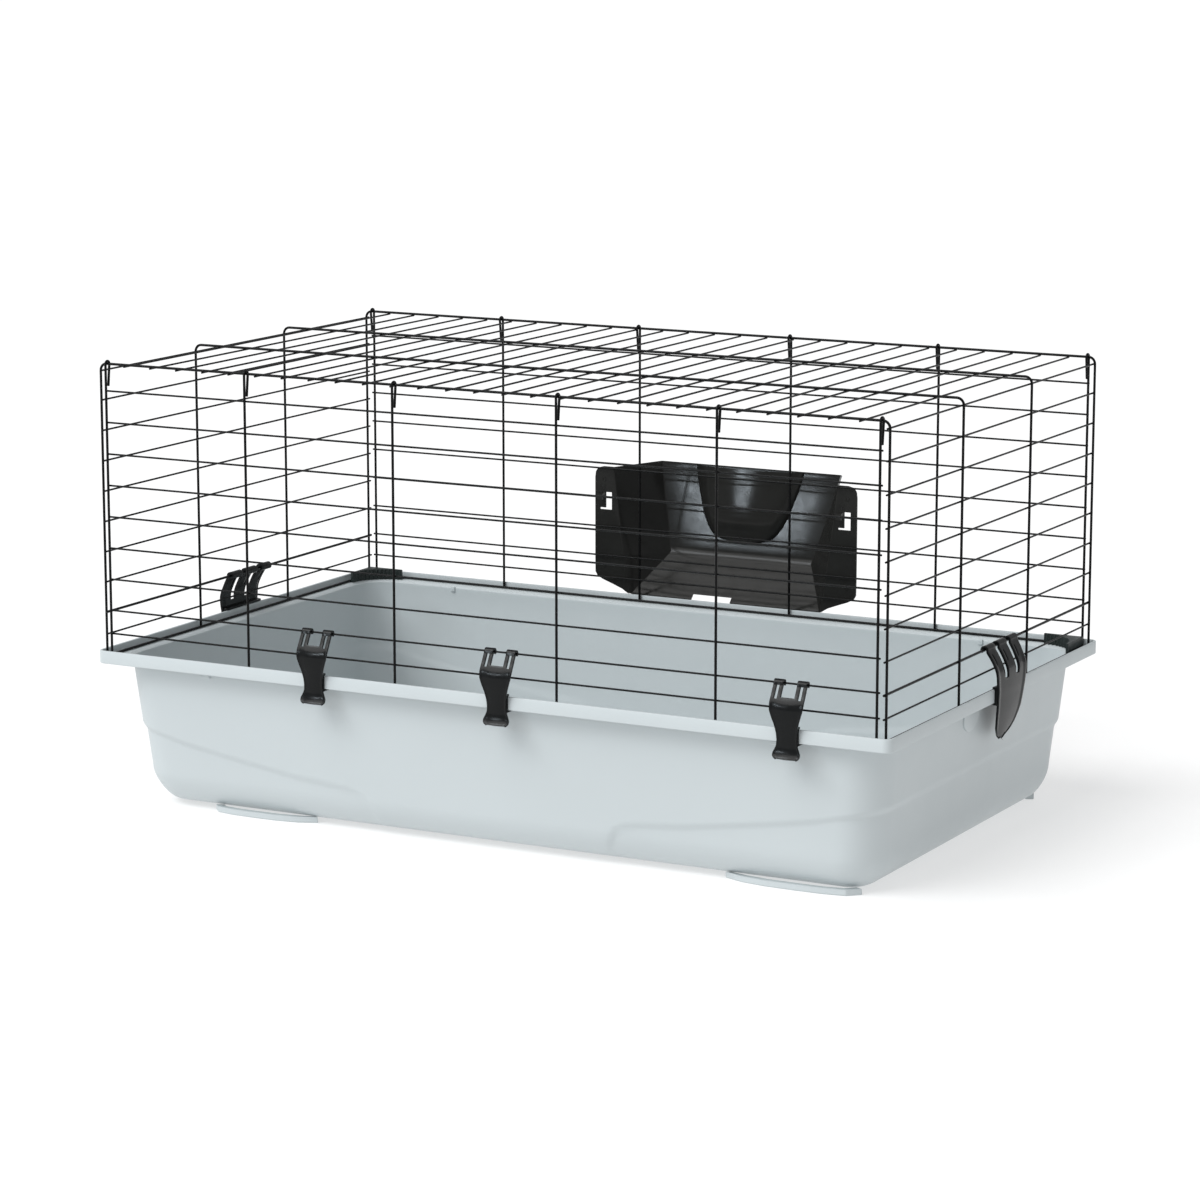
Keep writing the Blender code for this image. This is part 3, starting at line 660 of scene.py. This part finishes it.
def add_catch(sheet, row, rim_out, half, tooth_half, reach):
    """The ledge over the rim's lip, the web in front of it and the tooth under the skirt."""
    form = form_of(sheet)
    web = rim_out + 0.0005
    profile = [(web + 0.0028, -0.0180), (rim_out - 0.0014, -0.0170), (rim_out - 0.0014, -0.0155),
               (web, -0.0155), (web, 0.0006), (rim_out - 0.0026, 0.0006), (rim_out - 0.0026, 0.0028),
               (web + 0.0028, 0.0038)]
    rings = [[(x, -out, z - row) for out, z in profile] for x in (-half, half)]
    made = loft(form, rings)
    caps = [form.faces.new(made[0]), form.faces.new(made[-1])]
    bmesh.ops.bevel(form, geom=once_each(e for f in caps for e in f.edges), offset=0.0003, segments=2,
                    affect="EDGES", profile=0.5)
    rounded_block(form, (-tooth_half, -(rim_out + 0.0030), -0.0172 - row),
                  (tooth_half, -(rim_out - reach), -0.0156 - row), 0.0004)
    bmesh.ops.recalc_face_normals(form, faces=form.faces)
    put_back(form, sheet)


# the clips' spines as (outward, height), their half widths as (height, half width), and where
# their meshes are cut, as shares of the half width
FRONT_SPINE = [(0.0034, 0.0452), (0.0056, 0.0412), (0.0080, 0.0366), (0.0108, 0.0318), (0.0136, 0.0262),
               (0.0150, 0.0200), (0.0144, 0.0120), (0.0126, 0.0020), (0.0112, -0.0080), (0.0107, -0.0170),
               (0.0114, -0.0235), (0.0134, -0.0290), (0.0152, -0.0318)]
FRONT_WIDTH = [(-0.0318, 0.0128), (-0.0308, 0.0146), (-0.0290, 0.0156), (-0.0262, 0.0158), (-0.0225, 0.0140),
               (-0.0180, 0.0121), (-0.0120, 0.0116), (-0.0040, 0.0120), (0.0060, 0.0142), (0.0130, 0.0166),
               (0.0200, 0.0188), (0.0270, 0.0196), (0.0520, 0.0192)]
FRONT_COLUMNS = [-1, -0.94, -0.88, -0.81, -0.62, -0.52, -0.42, -0.21, 0, 0.21, 0.42, 0.52, 0.62, 0.81, 0.88,
                 0.94, 1]
# holes as (left, right, low, top), the first two as shares of the half width
FRONT_HOLES = [(-0.42, 0.42, 0.0330, None), (0.62, 0.81, 0.0325, 0.0450), (-0.81, -0.62, 0.0325, 0.0450)]
END_SPINE = [(0.0036, 0.0420), (0.0070, 0.0366), (0.0108, 0.0294), (0.0140, 0.0224), (0.0155, 0.0160),
             (0.0157, 0.0075), (0.0155, -0.0020), (0.0147, -0.0100), (0.0139, -0.0190), (0.0127, -0.0280),
             (0.0109, -0.0370), (0.0086, -0.0460), (0.0058, -0.0550), (0.0038, -0.0600)]
END_WIDTH = [(-0.0600, 0.0030), (-0.0595, 0.0062), (-0.0585, 0.0095), (-0.0565, 0.0140), (-0.0540, 0.0182),
             (-0.0500, 0.0222), (-0.0460, 0.0258), (-0.0370, 0.0304), (-0.0280, 0.0338), (-0.0190, 0.0352),
             (-0.0100, 0.0370), (-0.0020, 0.0380), (0.0075, 0.0400), (0.0160, 0.0408), (0.0300, 0.0412),
             (0.0400, 0.0426), (0.0500, 0.0432)]
END_CLIP_COLUMNS = [-1, -0.95, -0.91, -0.88, -0.83, -0.75, -0.62, -0.50, -0.26, -0.20, -0.14, -0.09, 0.0,
                    0.09, 0.18, 0.26, 0.50, 0.55, 0.60, 0.65, 0.75, 0.84, 0.91, 0.95, 1]
END_HOLES = [(0.26, 0.50, 0.0115, None), (-0.50, -0.26, 0.0115, None), (-0.88, -0.83, 0.0270, 0.0395),
             (-0.14, -0.09, 0.0270, 0.0395), (0.60, 0.65, 0.0270, 0.0395)]


def make_clips():
    """Three front clips, and a wide clip on each end. Each is made about its own wire."""
    row = ROW_CLIP[2] - RIM
    rim_out = HALF_D - (MID_Y - ROW_CLIP[1])
    for name in ("front_clip_left", "front_clip_middle", "front_clip_right"):
        sheet = clip_sheet(name + "_moulding", row, FRONT_SPINE, FRONT_COLUMNS, FRONT_WIDTH, FRONT_HOLES,
                           crown=0.0012, border=0.0007, curl=0.0029)
        add_catch(sheet, row, rim_out, half=0.0124, tooth_half=0.0130, reach=0.0088)
        dress_clip(sheet, name, JOINT[name + "_swing"]["pos_m"], 0.0)
    row = END_CLIP[2] - RIM
    rim_out = HALF_L - END_CLIP[0]
    for name, side in (("right_end_clip", 1), ("left_end_clip", -1)):
        sheet = clip_sheet(name + "_moulding", row, END_SPINE, END_CLIP_COLUMNS, END_WIDTH, END_HOLES,
                           crown=0.0010, border=0.0009, curl=0.0034)
        add_catch(sheet, row, rim_out, half=0.0376, tooth_half=0.0380, reach=0.0050)
        add_ribs(sheet, row)
        dress_clip(sheet, name, JOINT[name + "_swing"]["pos_m"], side * math.pi / 2)


def dress_clip(sheet, name, place, turn):
    """Places a clip on its wire and ties it to its body."""
    sheet.location = place
    sheet.rotation_euler = (0.0, 0.0, turn)
    sheet.data.materials.clear()
    sheet.data.materials.append(CLIP_SKIN)
    settle(sheet, 40)
    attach(sheet, name)
    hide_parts(name)


# ---- hay rack -------------------------------------------------------------------------------------
RACK_X = 0.0125
# levels of the sheet, as (height, half width of the flange, of the opening, of the outer wall, depth)
RACK_LEVELS = [(0.0010, 0.1320, 0.1300, 0.1285, 0.0020), (0.0060, 0.1400, 0.1312, 0.1252, 0.0070),
               (0.0110, 0.1530, 0.1325, 0.1218, 0.0120), (0.0160, 0.1670, 0.1335, 0.1184, 0.0172),
               (0.0200, 0.1745, 0.1342, 0.1158, 0.0210), (0.0250, 0.1774, 0.1350, 0.1124, 0.0250),
               (0.0435, 0.1777, 0.1372, 0.1000, 0.0424), (0.0466, 0.1777, 0.1376, 0.0980, 0.0450),
               (0.0500, 0.1777, 0.1381, 0.0964, 0.0471), (0.0536, 0.1777, 0.1387, 0.0975, 0.0488),
               (0.0575, 0.1777, 0.1393, 0.0986, 0.0500), (0.0620, 0.1777, 0.1400, 0.1000, 0.0512),
               (0.0800, 0.1777, 0.1425, 0.1040, 0.0560), (0.1180, 0.1777, 0.1470, 0.1140, 0.0650),
               (0.1440, 0.1777, 0.1502, 0.1197, 0.0711), (0.1510, 0.1768, 0.1511, 0.1210, 0.0724),
               (0.1560, 0.1735, 0.1518, 0.1219, 0.0734), (0.1580, 0.1660, 0.1520, 0.1225, 0.0740)]


RACK_WALL = 0.0019
RACK_DEPTH = 0.0760
RACK_ROW = ROWS_PANEL[5]
RACK_HOOKS = (-0.1670, 0.1570)


def make_rack():
    """A folded sheet with flanges, a half-round hopper front, and two hooks over a back panel row."""
    sheet_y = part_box("hay_rack")[1].y - MID_Y - RACK_DEPTH
    form = bmesh.new()
    rows = []
    for z, flange, opening, back, depth in RACK_LEVELS:
        half = [(flange, 0.0), (opening, 0.0), (back, depth), (back * 0.5, depth)]
        line = half + [(0.0, depth)] + [(-x, y) for x, y in half[::-1]]
        rows.append([(RACK_X + x, sheet_y + y, z) for x, y in line])
    loft(form, rows, closed=False)
    bmesh.ops.recalc_face_normals(form, faces=form.faces)
    sheet = new_object("hay_rack_moulding", form)
    folds = sheet.modifiers.new("folds", "BEVEL")
    folds.width = 0.0042
    folds.segments = 4
    folds.limit_method = "ANGLE"
    folds.angle_limit = math.radians(18)
    wall = sheet.modifiers.new("wall", "SOLIDIFY")
    wall.thickness = RACK_WALL
    wall.offset = 1.0 if sheet.data.polygons[0].normal.y > 0 else -1.0
    applied(sheet)
    cut_slots(sheet, sheet_y)
    form = form_of(sheet)
    add_hopper(form, sheet_y)
    for x in RACK_HOOKS:
        add_rack_hook(form, RACK_X + x, sheet_y)
    for sx in (-1, 1):
        for z in (0.0330, 0.1420):
            ring_boss(form, (RACK_X + sx * 0.1650, sheet_y, z))
    put_back(form, sheet)
    sheet.data.materials.clear()
    sheet.data.materials.append(RACK_SKIN)
    sheet.location = (0.0, MID_Y, RIM)
    settle(sheet, 30)
    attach(sheet, "hay_rack")
    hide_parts("hay_rack")


def cut_slots(sheet, sheet_y):
    """Cuts the angled slot beside each hook, and the notch in the lower edge."""
    cuts = bmesh.new()
    near, far = sheet_y - 0.006, sheet_y + 0.006
    foot_of_slot = RACK_ROW - 0.0160
    for x in RACK_HOOKS:
        at = RACK_X + x
        rounded_block(cuts, (at + 0.004, near, foot_of_slot), (at + 0.0125, far, RACK_ROW + 0.006), 0.0004)
        rounded_block(cuts, (at - 0.004, near, foot_of_slot), (at + 0.005, far, RACK_ROW - 0.0136), 0.0004)
    rounded_block(cuts, (RACK_X - 0.0455, near, -0.002), (RACK_X + 0.0075, sheet_y + 0.012, 0.0062), 0.0006)
    cutter = new_object("cuts", cuts)
    cut = sheet.modifiers.new("cut", "BOOLEAN")
    cut.operation = "DIFFERENCE"
    cut.solver = "EXACT"
    cut.use_self = True
    cut.object = cutter
    applied(sheet)
    bpy.data.objects.remove(cutter, do_unlink=True)


def add_rack_hook(form, at, sheet_y):
    """A hook over the back panel's row wire, with short grip ridges above it."""
    wire_y = HOOD_Y + HOOK_OUT - SINK
    profile = [(sheet_y + 0.0012, RACK_ROW + 0.0062), (wire_y - 0.0040, RACK_ROW + 0.0048),
               (wire_y - 0.0042, RACK_ROW - 0.0030), (wire_y - 0.0024, RACK_ROW - 0.0030),
               (wire_y - 0.0020, RACK_ROW + 0.0022), (sheet_y + 0.0012, RACK_ROW + 0.0022)]
    made = loft(form, [[(at + a, y, z) for y, z in profile] for a in (-0.0036, 0.0036)])
    form.faces.new(made[0])
    form.faces.new(made[-1])
    for k in range(5):
        z = RACK_ROW + 0.0085 + 0.0016 * k
        rounded_block(form, (at - 0.0040, sheet_y - 0.0004, z), (at + 0.0040, sheet_y + 0.0008, z + 0.0007),
                      0.0002)


def ring_boss(form, place):
    """A small moulded dimple ring on the flange."""
    rings = []
    turn = [2 * math.pi * k / 16 for k in range(16)]
    for radius, rise in ((0.0030, 0.0003), (0.0026, -0.0004), (0.0018, -0.0004), (0.0014, 0.0002),
                         (0.0004, 0.0002)):
        rings.append([(place[0] + radius * math.cos(a), place[1] + rise, place[2] + radius * math.sin(a))
                      for a in turn])
    made = loft(form, rings)
    form.faces.new(made[-1])


def add_hopper(form, sheet_y):
    """The half-round form pressed into the middle of the rack's outer wall."""
    heights = [0.1575, 0.145, 0.130, 0.115, 0.100, 0.090, 0.082, 0.076, 0.072, 0.0695, 0.068]
    width = [(0.0680, 0.010), (0.0695, 0.024), (0.072, 0.034), (0.076, 0.041), (0.082, 0.046), (0.090, 0.051),
             (0.100, 0.056), (0.115, 0.061), (0.130, 0.066), (0.1575, 0.073)]
    rings = []
    for z in heights:
        depth = 0.0560 + (z - 0.0800) * 0.2350
        half = mix(width, z)
        swell = 0.0125 * min(1.0, (z - 0.062) / 0.030)
        line = [(-half - 0.0022, 0.0006), (-half, -0.0018)]
        for k in range(17):
            t = -1 + 2 * k / 16
            line.append((t * half * 0.985, -0.0026 - swell * math.sqrt(max(0.0, 1 - t * t))))
        line += [(half, -0.0018), (half + 0.0022, 0.0006)]
        rings.append([(RACK_X + x, sheet_y + depth + d, z) for x, d in line])
    made = loft(form, rings, closed=False)
    form.faces.new(made[-1])


# ---- stage ----------------------------------------------------------------------------------------
def softbox(name, place, wide, high, power, colour):
    """A rectangular lamp that faces the hay rack, for the gloss on dark plastic and wire."""
    lamp = bpy.data.objects.new(name, bpy.data.lights.new(name, "AREA"))
    lamp.data.shape = "RECTANGLE"
    lamp.data.size = wide
    lamp.data.size_y = high
    lamp.data.energy = power
    lamp.data.color = colour
    lamp.location = (place[0], place[1] + MID_Y, place[2] + RIM)
    aim = Vector((RACK_X, HALF_D + MID_Y, RIM + 0.08)) - Vector(lamp.location)
    lamp.rotation_euler = aim.to_track_quat("-Z", "Y").to_euler()
    lamp.visible_camera = False
    bpy.context.scene.collection.objects.link(lamp)


def make_stage():
    """White paper that glows a little, the camera, a wide sun, two softboxes and a pale sky."""
    form = bmesh.new()
    bmesh.ops.create_grid(form, x_segments=2, y_segments=2, size=60.0)
    floor = new_object("floor", form)
    paper = shader("floor_paper", (0.50, 0.50, 0.50), 0.90, spread=0.004, grain=400.0, bump=0.02,
                   rough_spread=0.02, mottle=2.0)
    glow = paper.node_tree.nodes["Principled BSDF"]
    glow.inputs["Emission Color"].default_value = (1.0, 1.0, 1.0, 1.0)
    glow.inputs["Emission Strength"].default_value = 0.50
    floor.data.materials.append(paper)

    camera = bpy.data.objects.new("camera", bpy.data.cameras.new("camera"))
    bpy.context.scene.collection.objects.link(camera)
    camera.location = (2.1196, -3.9899 + MID_Y, 0.9158 + RIM)
    camera.rotation_euler = (math.radians(90 - 10.81), 0.0, math.radians(27.99))
    camera.data.lens = 118.97
    camera.data.sensor_width = 36.0
    camera.data.clip_end = 200.0
    bpy.context.scene.camera = camera

    key = bpy.data.objects.new("key", bpy.data.lights.new("key", "SUN"))
    key.data.energy = 2.22
    key.data.angle = math.radians(50)
    key.data.color = (1.0, 0.995, 0.985)
    key.rotation_euler = (math.radians(38), 0.0, math.radians(-32))
    bpy.context.scene.collection.objects.link(key)

    softbox("softbox_low", (-2.1375, -3.964, 1.3985), 0.60, 0.10, 15.0, (0.82, 0.92, 1.0))
    softbox("softbox_high", (-2.1400, -2.830, 3.2500), 1.60, 0.60, 26.0, (0.90, 0.96, 1.0))

    world = bpy.data.worlds.new("studio")
    world.use_nodes = True
    sky = world.node_tree.nodes["Background"]
    sky.inputs["Color"].default_value = (0.97, 0.985, 1.0, 1.0)
    sky.inputs["Strength"].default_value = 0.52
    bpy.context.scene.world = world
    bpy.context.scene.view_settings.view_transform = "Standard"


make_tray()
make_hood()
make_panel(-1, "front_panel")
make_panel(1, "back_panel")
make_corner("corner_piece_back_left", -1, 1)
make_corner("corner_piece_back_right", 1, 1)
make_clips()
make_rack()
make_stage()
